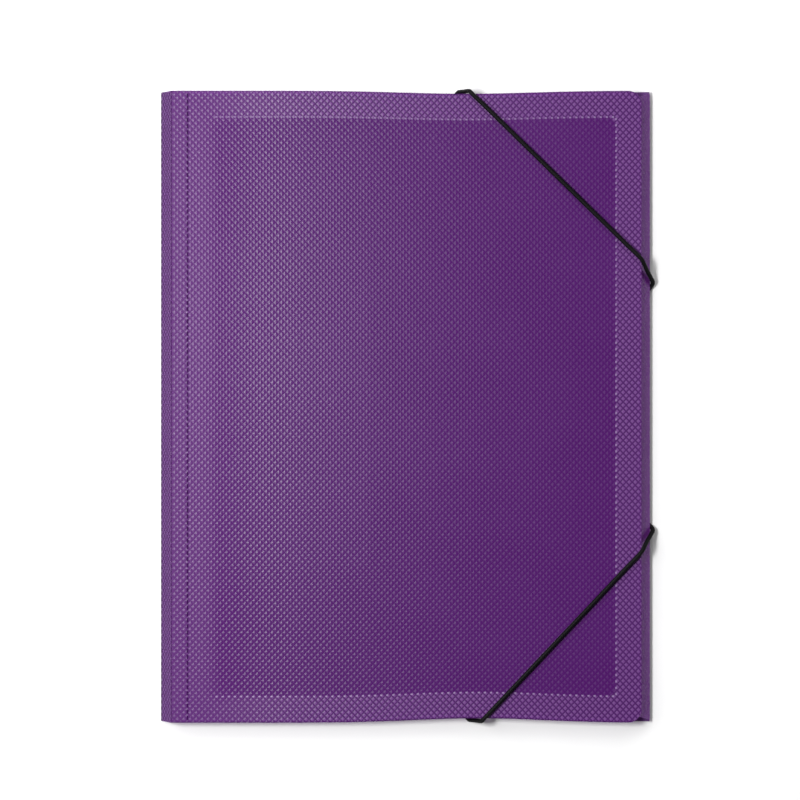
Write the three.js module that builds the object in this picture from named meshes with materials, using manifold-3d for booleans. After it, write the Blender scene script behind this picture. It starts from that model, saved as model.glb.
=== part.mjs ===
import * as THREE from 'three'
import { mergeVertices } from 'three/addons/utils/BufferGeometryUtils.js'
import Module from 'manifold-3d'

// Elastic folder, lying closed on its back. Millimetres, +Z up.
// The spine is at -X and the top edge at +Y.

// Sheet
const sheet = 0.6
const clearance = 0.3

// Folder, measured over its folds
const folderWidth = 245.6
const folderLength = 316
const folderHeight = 11
const spineLean = 5.6
const stripWidth = 7.9
const coverInset = 4.8
const cornerRadius = 6.5

// Back panel: flat beside the spine, raised where the cords pass under it
const flatWidth = 73
const rampWidth = 58

// Flaps
const sideWallLean = 6
const endWallLean = 1.5
const sideFlapDepth = 134.5
const topFlapDepth = 75
const bottomFlapDepth = 72.8
const flapTaper = 9
const flapRadius = 8
const sideWallSetBack = 2
const sideFlapSetBack = 7
const endWallSetBack = 9
const flapGap = 0.4

// Score lines on the flaps, counted from the fold
const firstScore = 6
const scoreSpacing = 5.25
const scoreWidth = 0.5
const scoreDepth = 0.15

// The cords pull the long edges in
const topPull = 1.5
const bottomPull = 2.25
const pullSpread = 45
const topPullCentre = 30
const bottomPullCentre = 36

// Cords and their metal ends
const cordDiameter = 2.2
const strandLift = 0.15
const cordSides = 8
const stepsPerSpan = 2
const holeDiameter = 3
const endHoleInset = 5.3
const sideHoleInset = 11.3
const sleeveWall = 0.6
const sleeveHeight = 3.1
const barLength = 12
const barWidth = 2.6
const barThickness = 0.9

const violet = { color: 0x5b2a7a, roughness: 0.35, metalness: 0 }
const black = { color: 0x1b1a1d, roughness: 0.75, metalness: 0 }
const steel = { color: 0xb9bcc0, roughness: 0.35, metalness: 1 }

// Places worked out from the sizes above
const halfSheet = sheet / 2
const halfWidth = folderWidth / 2
const halfLength = folderLength / 2
const raisedZ = strandLift + cordDiameter + clearance + halfSheet
const coverZ = folderHeight - halfSheet
const sideFlapZ = coverZ - sheet - flapGap
const endFlapZ = sideFlapZ - sheet - clearance
const spineFoldX = -halfWidth + halfSheet
const wallFoldX = halfWidth - halfSheet
const stripFoldX = spineFoldX + spineLean
const creaseX = stripFoldX + stripWidth
const flapFoldX = wallFoldX - sideWallLean
const coverEdgeX = halfWidth - coverInset
const flatEndX = -halfWidth + flatWidth

const wasm = await Module()
wasm.setup()

// Solids

function solid(geometry) {
  geometry.deleteAttribute('normal')
  geometry.deleteAttribute('uv')
  const merged = mergeVertices(geometry, 1e-4)
  return new wasm.Manifold(new wasm.Mesh({
    numProp: 3,
    vertProperties: new Float32Array(merged.attributes.position.array),
    triVerts: new Uint32Array(merged.index.array),
  }))
}

function toGeometry(manifold) {
  const mesh = manifold.getMesh()
  const geometry = new THREE.BufferGeometry()
  geometry.setAttribute('position', new THREE.BufferAttribute(mesh.vertProperties, 3))
  geometry.setIndex(new THREE.BufferAttribute(mesh.triVerts, 1))
  geometry.computeVertexNormals()
  return geometry
}

function joined(solids) {
  return solids.reduce((whole, next) => whole.add(next))
}

function part(name, geometry, look) {
  const mesh = new THREE.Mesh(geometry, new THREE.MeshStandardMaterial(look))
  mesh.name = name
  return mesh
}

// A panel of sheet between two edges that run side by side
function panel(edgeA, edgeB) {
  const along = edgeA[1].clone().sub(edgeA[0])
  const across = edgeB[0].clone().sub(edgeA[0])
  const facing = new THREE.Vector3().crossVectors(along, across)
  const upward = facing.z < 0 ? -1 : 1
  const last = edgeA.length - 1
  const corners = []
  edgeA.forEach((point, i) => {
    const before = edgeA[Math.max(i - 1, 0)]
    const after = edgeA[Math.min(i + 1, last)]
    const run = after.clone().sub(before)
    const span = edgeB[i].clone().sub(point)
    const normal = new THREE.Vector3().crossVectors(run, span).setLength(halfSheet * upward)
    corners.push(
      point.clone().add(normal), edgeB[i].clone().add(normal),
      edgeB[i].clone().sub(normal), point.clone().sub(normal),
    )
  })
  const index = []
  const quad = (a, b, c, d) => index.push(a, b, c, a, c, d)
  for (let i = 0; i < last; i += 1) {
    const base = 4 * i
    for (let side = 0; side < 4; side += 1) {
      const next = (side + 1) % 4
      quad(base + side, base + next, base + next + 4, base + side + 4)
    }
  }
  quad(0, 3, 2, 1)
  quad(4 * last, 4 * last + 1, 4 * last + 2, 4 * last + 3)
  if (upward > 0) {
    for (let i = 0; i < index.length; i += 3) {
      [index[i], index[i + 1]] = [index[i + 1], index[i]]
    }
  }
  const geometry = new THREE.BufferGeometry()
  const positions = corners.flatMap((corner) => corner.toArray())
  geometry.setAttribute('position', new THREE.Float32BufferAttribute(positions, 3))
  geometry.setIndex(index)
  return solid(geometry)
}

// A plate cut to an outline, centred on a height
function plate(outline, z) {
  const geometry = new THREE.ExtrudeGeometry(outline, {
    depth: sheet,
    bevelEnabled: false,
    curveSegments: 6,
  })
  geometry.translate(0, 0, z - halfSheet)
  return solid(geometry)
}

// The round outside of a straight fold
function foldBead(start, end) {
  const geometry = new THREE.CylinderGeometry(halfSheet, halfSheet, start.distanceTo(end), 12)
  const direction = end.clone().sub(start).normalize()
  const turn = new THREE.Quaternion().setFromUnitVectors(new THREE.Vector3(0, 1, 0), direction)
  geometry.applyQuaternion(turn)
  const middle = start.clone().add(end).multiplyScalar(0.5)
  geometry.translate(middle.x, middle.y, middle.z)
  return solid(geometry)
}

// A V-shaped line pressed into a sheet's upper face
function scoreLine(start, end) {
  const profile = new THREE.Shape()
  profile.moveTo(-scoreWidth / 2, scoreDepth)
  profile.lineTo(0, -scoreDepth)
  profile.lineTo(scoreWidth / 2, scoreDepth)
  profile.closePath()
  const length = start.distanceTo(end)
  const geometry = new THREE.ExtrudeGeometry(profile, { depth: length, bevelEnabled: false })
  geometry.rotateX(Math.PI / 2)
  const angle = Math.atan2(end.y - start.y, end.x - start.x) + Math.PI / 2
  geometry.rotateZ(angle)
  geometry.translate(start.x, start.y, start.z)
  return solid(geometry)
}

// Edges

function smooth(t) {
  return t * t * (3 - 2 * t)
}

function pullAt(x, side) {
  const depth = side > 0 ? topPull : bottomPull
  const centre = side > 0 ? topPullCentre : bottomPullCentre
  return depth * Math.exp(-(((x - centre) / pullSpread) ** 2))
}

function edgeY(x, side) {
  return side * (halfLength - pullAt(x, side))
}

function backZ(x) {
  const t = THREE.MathUtils.clamp((x - flatEndX) / rampWidth, 0, 1)
  return THREE.MathUtils.lerp(halfSheet, raisedZ, smooth(t))
}

function stationsBetween(start, end, count) {
  return Array.from({ length: count + 1 }, (_, i) => THREE.MathUtils.lerp(start, end, i / count))
}

// The folded sheet without its cover

function backPanel() {
  const stations = [
    spineFoldX,
    ...stationsBetween(flatEndX, flatEndX + rampWidth, 10),
    ...stationsBetween(flatEndX + rampWidth, wallFoldX, 11).slice(1),
  ]
  const edge = (side) => stations.map((x) => new THREE.Vector3(x, edgeY(x, side), backZ(x)))
  return panel(edge(1), edge(-1))
}

function straightPanel(fromX, fromZ, toX, toZ, halfSpan) {
  const edge = (y) => [new THREE.Vector3(fromX, y, fromZ), new THREE.Vector3(toX, y, toZ)]
  return panel(edge(halfSpan), edge(-halfSpan))
}

function longBead(x, z, halfSpan) {
  return foldBead(new THREE.Vector3(x, -halfSpan, z), new THREE.Vector3(x, halfSpan, z))
}

function spineAndStrip() {
  return joined([
    straightPanel(spineFoldX, halfSheet, stripFoldX, coverZ, halfLength),
    straightPanel(stripFoldX, coverZ, creaseX - clearance / 2, coverZ, halfLength),
    longBead(spineFoldX, halfSheet, halfLength),
    longBead(stripFoldX, coverZ, halfLength),
  ])
}

function sideFlap() {
  const wallHalf = halfLength - sideWallSetBack
  const foldHalf = halfLength - sideFlapSetBack
  const freeX = flapFoldX - sideFlapDepth
  const freeHalf = foldHalf - flapTaper
  const outline = new THREE.Shape()
  outline.moveTo(flapFoldX, -foldHalf)
  outline.lineTo(flapFoldX, foldHalf)
  outline.lineTo(freeX + flapRadius, freeHalf)
  outline.quadraticCurveTo(freeX, freeHalf, freeX, freeHalf - flapRadius)
  outline.lineTo(freeX, -freeHalf + flapRadius)
  outline.quadraticCurveTo(freeX, -freeHalf, freeX + flapRadius, -freeHalf)
  outline.closePath()
  const wall = panel(
    [new THREE.Vector3(wallFoldX, wallHalf, raisedZ), new THREE.Vector3(flapFoldX, foldHalf, sideFlapZ)],
    [new THREE.Vector3(wallFoldX, -wallHalf, raisedZ), new THREE.Vector3(flapFoldX, -foldHalf, sideFlapZ)],
  )
  return joined([
    wall,
    longBead(wallFoldX, raisedZ, wallHalf),
    longBead(flapFoldX, sideFlapZ, foldHalf),
    plate(outline, sideFlapZ),
  ])
}

function endFlap(side, depth) {
  const startX = spineFoldX + spineLean + endWallSetBack
  const endX = flapFoldX - endWallSetBack
  const stations = stationsBetween(startX, endX, 22)
  const foldY = (x) => edgeY(x, side) - side * (halfSheet + endWallLean)
  const wallFoot = stations.map((x) => new THREE.Vector3(x, edgeY(x, side) - side * halfSheet, backZ(x)))
  const wallTop = stations.map((x) => new THREE.Vector3(x, foldY(x), endFlapZ))
  const freeY = side * (halfLength - halfSheet - endWallLean - depth)
  const shorten = side * flapRadius
  const outline = new THREE.Shape(stations.map((x) => new THREE.Vector2(x, foldY(x))))
  outline.lineTo(endX - flapTaper, freeY + shorten)
  outline.quadraticCurveTo(endX - flapTaper, freeY, endX - flapTaper - flapRadius, freeY)
  outline.lineTo(startX + flapTaper + flapRadius, freeY)
  outline.quadraticCurveTo(startX + flapTaper, freeY, startX + flapTaper, freeY + shorten)
  outline.closePath()
  return joined([panel(wallFoot, wallTop), plate(outline, endFlapZ)])
}

function scoreLines() {
  const sideHalf = halfLength - sideFlapSetBack - flapTaper
  const endStartX = spineFoldX + spineLean + endWallSetBack + flapTaper
  const endStopX = flapFoldX - endWallSetBack - flapTaper
  const lines = []
  for (const offset of [firstScore, firstScore + scoreSpacing]) {
    const x = flapFoldX - offset
    const sideTop = sideFlapZ + halfSheet
    lines.push(scoreLine(new THREE.Vector3(x, -sideHalf, sideTop), new THREE.Vector3(x, sideHalf, sideTop)))
    for (const side of [1, -1]) {
      const y = side * (halfLength - halfSheet - endWallLean - offset)
      const endTop = endFlapZ + halfSheet
      lines.push(scoreLine(new THREE.Vector3(endStartX, y, endTop), new THREE.Vector3(endStopX, y, endTop)))
    }
  }
  return joined(lines)
}

function cordHole(anchor) {
  const geometry = new THREE.CylinderGeometry(holeDiameter / 2, holeDiameter / 2, 4 * sheet, 24)
  geometry.rotateX(Math.PI / 2)
  geometry.translate(anchor.x, anchor.y, raisedZ)
  return solid(geometry)
}

function folderBody(anchors) {
  const folded = joined([
    backPanel(),
    spineAndStrip(),
    sideFlap(),
    endFlap(1, topFlapDepth),
    endFlap(-1, bottomFlapDepth),
  ])
  return folded.subtract(scoreLines()).subtract(joined(anchors.map(cordHole)))
}

// The cover, hinged at the crease beside the spine

function frontCover() {
  const startX = creaseX + clearance / 2
  const cornerX = coverEdgeX - cornerRadius
  const stations = stationsBetween(startX, cornerX, 22)
  const topCornerY = edgeY(cornerX, 1)
  const bottomCornerY = edgeY(cornerX, -1)
  const outline = new THREE.Shape(stations.map((x) => new THREE.Vector2(x, edgeY(x, 1))))
  outline.quadraticCurveTo(coverEdgeX, topCornerY, coverEdgeX, topCornerY - cornerRadius)
  outline.lineTo(coverEdgeX, bottomCornerY + cornerRadius)
  outline.quadraticCurveTo(coverEdgeX, bottomCornerY, cornerX, bottomCornerY)
  for (const x of stations.toReversed().slice(1)) outline.lineTo(x, edgeY(x, -1))
  outline.closePath()
  return plate(outline, coverZ)
}

// Cords

// Steps are shared evenly between the chosen points, so the tight bends get their own
class ChosenPath extends THREE.CatmullRomCurve3 {
  getUtoTmapping(u) {
    return u
  }
}

const strandZ = strandLift + cordDiameter / 2
const frontZ = folderHeight + clearance + cordDiameter / 2
const bend = clearance + cordDiameter / 2
const holeBottomZ = raisedZ - halfSheet
const cordEndZ = raisedZ + halfSheet + sleeveHeight - sleeveWall

// The strand under the back, from its hole to a point near the edge
function strandPoints(anchor, x, y) {
  const towards = new THREE.Vector2(x - anchor.x, y - anchor.y).normalize()
  const at = (run, z) => [anchor.x + towards.x * run, anchor.y + towards.y * run, z]
  const reach = 0.3 * bend
  return [
    at(0, cordEndZ),
    at(0, holeBottomZ + halfSheet),
    at(reach, strandZ + bend - reach * 2.2),
    at(bend, strandZ),
    at(bend * 3, strandZ),
  ]
}

// Over the long edge, from the strand under the back to the front of the cover
function longEdgePoints(side, footX, headX) {
  const footY = edgeY(footX, side)
  const headY = edgeY(headX, side)
  const slant = 0.71 * bend
  const out = side * bend
  return [
    [footX, footY, strandZ],
    [footX + 0.8, footY + side * slant, holeBottomZ - slant],
    [footX + 1.3, footY + out, holeBottomZ],
    [(footX + headX) / 2, (footY + headY) / 2 + out, (raisedZ + coverZ) / 2],
    [headX - 1.6, headY + out, folderHeight - halfSheet],
    [headX - 0.9, headY + side * slant, folderHeight + slant],
    [headX, headY, frontZ],
  ]
}

// Over the cover's free edge, down beside the side wall and under the back
function foreEdgePoints(side, coverY, foldY) {
  const run = foldY - coverY
  const foldBend = bend + halfSheet
  const edge = (share, x, z) => [x, side * (coverY + run * share), z]
  return [
    edge(0, coverEdgeX, frontZ),
    edge(0.16, coverEdgeX + 0.89 * bend, folderHeight + 0.46 * bend),
    edge(0.45, (coverEdgeX + wallFoldX) / 2 + 0.89 * bend, (folderHeight + raisedZ) / 2 + 0.5 * bend),
    edge(0.75, wallFoldX + 0.89 * foldBend, raisedZ + 0.46 * foldBend),
    edge(0.82, wallFoldX + foldBend, raisedZ),
    edge(0.9, wallFoldX + 0.71 * foldBend, raisedZ - 0.71 * foldBend),
    edge(1, wallFoldX, strandZ),
  ]
}

function endAnchor(x, side) {
  return new THREE.Vector2(x, edgeY(x, side) - side * endHoleInset)
}

function sideAnchor(y) {
  return new THREE.Vector2(halfWidth - sideHoleInset, y)
}

const topHoleX = 19.2
const bottomHoleX = 24.5
const sideHoleY = 46.5
const topAnchors = [endAnchor(topHoleX, 1), sideAnchor(sideHoleY)]
const bottomAnchors = [endAnchor(bottomHoleX, -1), sideAnchor(-sideHoleY)]
const topFoot = 25.3
const topHead = 33.2
const bottomFoot = 30.6
const bottomHead = 39.3
const foldY = 59.4
const topCoverY = 73.6
const bottomCoverY = 72.4

const topCordPoints = [
  ...strandPoints(topAnchors[0], topFoot, edgeY(topFoot, 1)),
  ...longEdgePoints(1, topFoot, topHead),
  [38, 151.9, frontZ],
  [60, 130.4, frontZ],
  [88, 103, frontZ],
  [110, 81.5, frontZ],
  ...foreEdgePoints(1, topCoverY, foldY),
  ...strandPoints(topAnchors[1], wallFoldX, foldY).reverse(),
]

const bottomCordPoints = [
  ...strandPoints(bottomAnchors[0], bottomFoot, edgeY(bottomFoot, -1)),
  ...longEdgePoints(-1, bottomFoot, bottomHead),
  [47.2, -147.4, frontZ],
  [66, -127.5, frontZ],
  [90, -102.1, frontZ],
  [110, -80.9, frontZ],
  ...foreEdgePoints(-1, bottomCoverY, foldY),
  ...strandPoints(bottomAnchors[1], wallFoldX, -foldY).reverse(),
]

function cord(points) {
  const path = new ChosenPath(points.map((point) => new THREE.Vector3(...point)))
  const section = new THREE.Shape()
  section.absarc(0, 0, cordDiameter / 2, 0, 2 * Math.PI)
  return new THREE.ExtrudeGeometry(section, {
    steps: stepsPerSpan * (points.length - 1),
    curveSegments: cordSides / 2,
    extrudePath: path,
  })
}

// A metal end: a sleeve crimped on the cord, with a bar that lies across the hole
function cordEnd(anchor) {
  const bore = cordDiameter / 2 + clearance
  const outer = bore + sleeveWall
  const footZ = raisedZ + halfSheet + clearance
  const roofZ = cordEndZ + clearance
  const topZ = roofZ + sleeveWall
  const profile = [
    [bore, footZ], [outer, footZ], [outer, topZ - sleeveWall / 2], [outer - sleeveWall / 2, topZ],
    [0, topZ], [0, roofZ], [bore, roofZ], [bore, footZ],
  ].map(([r, z]) => new THREE.Vector2(r, z))
  const sleeve = new THREE.LatheGeometry(profile, 24)
  sleeve.rotateX(Math.PI / 2)
  const reach = (barLength - barWidth) / 2
  const outline = new THREE.Shape()
  outline.absarc(reach, 0, barWidth / 2, -Math.PI / 2, Math.PI / 2)
  outline.absarc(-reach, 0, barWidth / 2, Math.PI / 2, 3 * Math.PI / 2)
  outline.closePath()
  const bar = new THREE.ExtrudeGeometry(outline, { depth: barThickness, bevelEnabled: false, curveSegments: 8 })
  bar.translate(0, 0, footZ)
  const core = new THREE.CylinderGeometry(bore, bore, 4 * barThickness, 24)
  core.rotateX(Math.PI / 2)
  core.translate(0, 0, footZ)
  const end = solid(bar).subtract(solid(core)).add(solid(sleeve))
  return toGeometry(end).translate(anchor.x, anchor.y, 0)
}

// Assembly

const folder = new THREE.Group()
folder.add(part('folder_body', toGeometry(folderBody([...topAnchors, ...bottomAnchors])), violet))
folder.add(part('front_cover', toGeometry(frontCover()), violet))
folder.add(part('elastic_cord_top', cord(topCordPoints), black))
folder.add(part('elastic_cord_bottom', cord(bottomCordPoints), black))
folder.add(part('cord_end_top_edge', cordEnd(topAnchors[0]), steel))
folder.add(part('cord_end_upper_side', cordEnd(topAnchors[1]), steel))
folder.add(part('cord_end_bottom_edge', cordEnd(bottomAnchors[0]), steel))
folder.add(part('cord_end_lower_side', cordEnd(bottomAnchors[1]), steel))

// The origin is the middle of the base of everything
const reachBox = new THREE.Box3().setFromObject(folder)
const middle = reachBox.getCenter(new THREE.Vector3())
folder.position.set(-middle.x, -middle.y, -reachBox.min.z)

export default folder
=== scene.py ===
import math

import bpy
import numpy as np
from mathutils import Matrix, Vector


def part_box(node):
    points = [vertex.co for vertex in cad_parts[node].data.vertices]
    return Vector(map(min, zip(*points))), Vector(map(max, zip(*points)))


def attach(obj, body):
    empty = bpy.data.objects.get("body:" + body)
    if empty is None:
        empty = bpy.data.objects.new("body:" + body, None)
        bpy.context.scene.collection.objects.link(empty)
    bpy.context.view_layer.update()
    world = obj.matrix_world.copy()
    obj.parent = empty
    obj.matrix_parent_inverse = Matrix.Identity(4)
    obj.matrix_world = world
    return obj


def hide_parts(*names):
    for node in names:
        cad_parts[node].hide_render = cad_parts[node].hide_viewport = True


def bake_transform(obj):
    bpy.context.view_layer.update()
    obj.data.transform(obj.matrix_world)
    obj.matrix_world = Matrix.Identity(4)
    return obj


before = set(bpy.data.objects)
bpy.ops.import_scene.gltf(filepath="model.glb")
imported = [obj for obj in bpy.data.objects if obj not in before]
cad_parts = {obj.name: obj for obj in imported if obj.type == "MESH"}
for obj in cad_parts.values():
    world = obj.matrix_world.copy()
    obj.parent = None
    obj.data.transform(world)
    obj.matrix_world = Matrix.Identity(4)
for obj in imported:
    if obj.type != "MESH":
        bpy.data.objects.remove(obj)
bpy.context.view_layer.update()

# Sizes in metres. The solids' boxes give the folder's outside and the sheet's gauge
MM = 0.001
body_low, body_high = (Vector(corner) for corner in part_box("folder_body"))
cover_low, cover_high = (Vector(corner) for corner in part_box("front_cover"))
SHEET = cover_high.z - cover_low.z
HALF = SHEET / 2
CLEARANCE = 0.3 * MM
UNDER_COVER_GAP = 0.4 * MM
MIDDLE_X = (body_low.x + body_high.x) / 2
MIDDLE_Y = (body_low.y + body_high.y) / 2
HALF_WIDTH = (body_high.x - body_low.x) / 2
HALF_LENGTH = (body_high.y - body_low.y) / 2

# Levels of the sheet's middle
CORD_DIAMETER = 2.2 * MM
STRAND_LIFT = 0.15 * MM
BACK_Z = HALF
RAISED_Z = STRAND_LIFT + CORD_DIAMETER + CLEARANCE + HALF
COVER_Z = cover_high.z - HALF
SIDE_FLAP_Z = COVER_Z - SHEET - UNDER_COVER_GAP
END_FLAP_Z = SIDE_FLAP_Z - SHEET - CLEARANCE

# Folds, measured from the folder's middle
SPINE_X = -HALF_WIDTH + HALF
WALL_X = HALF_WIDTH - HALF
SPINE_LEAN = 5.6 * MM
SIDE_WALL_LEAN = 6 * MM
STRIP_X = SPINE_X + SPINE_LEAN
CREASE_X = cover_low.x - MIDDLE_X - CLEARANCE / 2
FLAP_FOLD_X = WALL_X - SIDE_WALL_LEAN
COVER_EDGE_X = cover_high.x - MIDDLE_X
RAMP_START_X = -HALF_WIDTH + 73 * MM
RAMP_WIDTH = 58 * MM
CORNER_RADIUS = 6.5 * MM
SIDE_FLAP_DEPTH = 134.5 * MM
TOP_FLAP_DEPTH = 75 * MM
BOTTOM_FLAP_DEPTH = 72.8 * MM
END_WALL_LEAN = 1.5 * MM
FLAP_TAPER = 9 * MM
FLAP_RADIUS = 8 * MM
SIDE_WALL_SET_BACK = 0.8 * MM
SIDE_FLAP_SET_BACK = 3 * MM
END_WALL_SET_BACK = 9 * MM
SCORES = (6 * MM, 11.25 * MM)

# The cords pull the long edges in: how far, and where along the edge, for each side
PULL = {1: (1.5 * MM, 30 * MM), -1: (2.25 * MM, 36 * MM)}
PULL_SPREAD = 45 * MM

# Diamonds pressed into the outer face
DIAMOND_X = 1.525 * MM
DIAMOND_Y = 1.6 * MM
DIAMOND_HEIGHT = 0.085 * MM
COVER_WIDTH = COVER_EDGE_X - CREASE_X
COVER_PITCH_X = COVER_WIDTH / round(COVER_WIDTH / DIAMOND_X)
PITCH_Y = 2 * HALF_LENGTH / round(2 * HALF_LENGTH / DIAMOND_Y)

# Points nearer than the first are one point, and triangles smaller than the second are left out
SAME_PLACE = 1e-7
LEAST_AREA = 1e-10

# The window is where the cover lies on the flaps, which gives it a deeper colour. Round it a
# painted glow stands in for light scattered under the cover
WINDOW_LEFT = CREASE_X + 13 * MM
WINDOW_RIGHT = FLAP_FOLD_X - SCORES[1]
WINDOW_TOP = HALF_LENGTH - HALF - END_WALL_LEAN - SCORES[1]
WINDOW_RADIUS = 5 * MM
WINDOW_SOFT = 6 * MM
WINDOW_CRISP = 0.7 * MM
END_FLAP_FADE = (78 * MM, 86 * MM)
SIDE_FLAP_FADE = 3 * MM

# Marks at even steps: half their width, and the share of the step that they take up
MARK_PITCH = 3.05 * MM
SIDE_MARK_PITCH = 3.2 * MM
CREASE_MARK = (0.55 * MM, 0.7)
SHOWING_MARK = (0.5 * MM, 0.34)
INNER_SCORE_MARK = (0.42 * MM, 0.55)
OUTER_SCORE_MARK = (0.3 * MM, 0.8)

# Colours, linear. In the window the grooves carry painted shade and the diamonds are deep. Round
# it the diamonds carry a painted glow for light scattered under the cover, fainter beside the
# spine
DEEP = (0.078, 0.0040, 0.130)
SHADED = (0.062, 0.0016, 0.108)
BORDER_GLOW = (0.185, 0.066, 0.258)
FAINT_BORDER_GLOW = (0.130, 0.036, 0.190)
# Painted shade in the grooves round the window
PAINTED_GROOVE_SHADE = (0.055, 0.006, 0.095)
INNER = (0.070, 0.008, 0.118)
FILM = (0.66, 0.34, 0.78)
# Painted shade along the cover's edges and the spine's lower bend
PAINTED_EDGE_SHADE = (0.030, 0.002, 0.055)
CLOUD = (0.10, 0.02, 0.16)
# Painted shade in dashes along the crease
PAINTED_CREASE_SHADE = (0.022, 0.001, 0.040)
# Pale score marks seen through the cover, with a painted highlight
SCORE_MARK_HIGHLIGHT = (0.45, 0.33, 0.55)
STRAINED = (0.36, 0.24, 0.44)
# The walls are painted lighter, as painted light
PAINTED_LIGHT_WALL = (0.150, 0.022, 0.235)
# Painted shade in the spine's grooves
SPINE_GROOVE_SHADE = (0.056, 0.004, 0.094)
SPINE_TILE = (0.092, 0.014, 0.146)
BLACK = (0.0015, 0.0015, 0.0017)
WORN_BLACK = (0.007, 0.007, 0.008)
STEEL = ((0.50, 0.51, 0.53), (0.68, 0.69, 0.70))
FLOOR = ((0.66, 0.66, 0.66), (0.68, 0.68, 0.68))

# Finish of the plastic
OPEN_SHARE = {"cover": 0.42, "outer": 0.30, "inner": 0.36, "flap": 0.30}
ROUGHNESS = 0.26
INNER_ROUGHNESS = 0.40
ROUGHNESS_SPREAD = 0.12
PLASTIC_IOR = 1.49
GLOSS = 0.5
FLAP_GLOSS = 0.3
SPINE_GLOSS = 0.22
TILE_GLOSS = 1.15
GROOVE_GLOSS = 0.05
GRAIN_SCALE = 900.0
GRAIN_DEPTH = 0.03 * MM
CLOUD_SCALE = 22.0
CLOUD_SHARE = 0.15
# Strengths of the painted glow over the hollow, of the score marks with their painted highlight,
# and of the painted edge shade
HOLLOW_GLOW = 0.08
MARK_STRENGTH = 0.55
EDGE_SHADE_STRENGTH = 0.8
OUTER_SCORE_STRENGTH = 0.3
SPINE_EVENNESS = 0.6
GLOSS_EVENNESS = (0.42, 0.55)
STRIP_GLOSS = 0.42


# Node trees

class Tree:
    """A small helper that adds nodes and links to one material."""

    def __init__(self, name):
        self.material = bpy.data.materials.new(name)
        self.material.use_nodes = True
        self.nodes = self.material.node_tree.nodes
        self.links = self.material.node_tree.links
        self.nodes.clear()
        self.output = self.nodes.new("ShaderNodeOutputMaterial")

    def put(self, socket, value):
        if isinstance(value, bpy.types.NodeSocket):
            self.links.new(value, socket)
        elif isinstance(value, tuple) and len(value) == 3 and socket.type == "RGBA":
            socket.default_value = (*value, 1)
        else:
            socket.default_value = value

    def add(self, kind, inputs=None, **settings):
        node = self.nodes.new(kind)
        for key, value in settings.items():
            setattr(node, key, value)
        for key, value in (inputs or {}).items():
            self.put(node.inputs[key], value)
        return node

    def math(self, operation, a, b=0.0, c=0.0):
        node = self.add("ShaderNodeMath", {0: a, 1: b, 2: c}, operation=operation)
        return node.outputs[0]

    def vector(self, operation, a, b=(0, 0, 0)):
        return self.add("ShaderNodeVectorMath", {0: a, 1: b}, operation=operation)

    def mix(self, factor, a, b):
        node = self.add("ShaderNodeMix", data_type="RGBA")
        self.put(node.inputs[0], factor)
        self.put(node.inputs[6], a)
        self.put(node.inputs[7], b)
        return node.outputs[2]

    def ramp(self, value, low, high, to_low=0.0, to_high=1.0):
        inputs = {
            "Value": value,
            "From Min": low,
            "From Max": high,
            "To Min": to_low,
            "To Max": to_high,
        }
        node = self.add("ShaderNodeMapRange", inputs, interpolation_type="SMOOTHSTEP")
        return node.outputs[0]

    def noise(self, vector, scale, detail=2.0, roughness=0.5):
        node = self.add("ShaderNodeTexNoise", {
            "Vector": vector, "Scale": scale, "Detail": detail, "Roughness": roughness,
        })
        return node.outputs["Fac"]

    def bump(self, height, distance, strength=1.0):
        node = self.add("ShaderNodeBump", {
            "Height": height, "Distance": distance, "Strength": strength,
        })
        return node.outputs[0]


def flat_place(tree):
    """Where a point lies on the flat sheet, in metres, as the UV map holds it."""
    return tree.add("ShaderNodeUVMap", uv_map="flat").outputs[0]


def diamond_height(tree, x, y):
    """0 in the grooves between the diamonds and 1 on their tips."""
    column = tree.math("DIVIDE", tree.math("SUBTRACT", x, CREASE_X), COVER_PITCH_X)
    row = tree.math("DIVIDE", tree.math("ADD", y, HALF_LENGTH), PITCH_Y)
    total = tree.math("MULTIPLY", tree.math("ADD", column, row), 0.5)
    difference = tree.math("MULTIPLY", tree.math("SUBTRACT", column, row), 0.5)
    far = tree.math(
        "MAXIMUM", tree.math("PINGPONG", total, 0.5), tree.math("PINGPONG", difference, 0.5))
    return tree.math("MULTIPLY_ADD", far, -2.0, 1.0)


def plastic(tree, colour, place, open_share, roughness=ROUGHNESS, tile=None, gloss=GLOSS):
    """Glossy polypropylene that lets some light through, tinted by the sheet.

    Where a tile mask is given, the tips of the diamonds are glossy and the grooves matt.
    """
    grain = tree.noise(place, GRAIN_SCALE, 3.0, 0.6)
    cloud = tree.noise(place, CLOUD_SCALE, 3.0, 0.55)
    varied = tree.mix(tree.ramp(cloud, 0.3, 0.7, 0.0, CLOUD_SHARE), colour, CLOUD)
    rough = tree.math("MULTIPLY_ADD", grain, ROUGHNESS_SPREAD, roughness - ROUGHNESS_SPREAD / 2)
    normal = tree.bump(grain, GRAIN_DEPTH, 0.3)
    shine = gloss / (1 - open_share)
    if tile is not None:
        shine = tree.math("MULTIPLY_ADD", tile, shine * TILE_GLOSS, shine * GROOVE_GLOSS)
    shader = tree.add("ShaderNodeBsdfPrincipled", {
        "Base Color": varied,
        "Roughness": rough,
        "IOR": PLASTIC_IOR,
        "Specular IOR Level": shine,
        "Normal": normal,
    })
    film = tree.add("ShaderNodeBsdfTransparent", {"Color": FILM})
    both = tree.add("ShaderNodeMixShader", {
        0: open_share,
        1: shader.outputs[0],
        2: film.outputs[0],
    })
    tree.links.new(both.outputs[0], tree.output.inputs[0])


def dash_mask(tree, across, along, pitch, mark):
    """1 on short dashes along a line where across is 0."""
    half_width, share = mark
    near = tree.ramp(tree.math("ABSOLUTE", across), half_width * 0.6, half_width, 1.0, 0.0)
    phase = tree.math("PINGPONG", along, pitch / 2)
    on = tree.ramp(phase, pitch * share * 0.4, pitch * share * 0.6, 1.0, 0.0)
    return tree.math("MULTIPLY", near, on)


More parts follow.
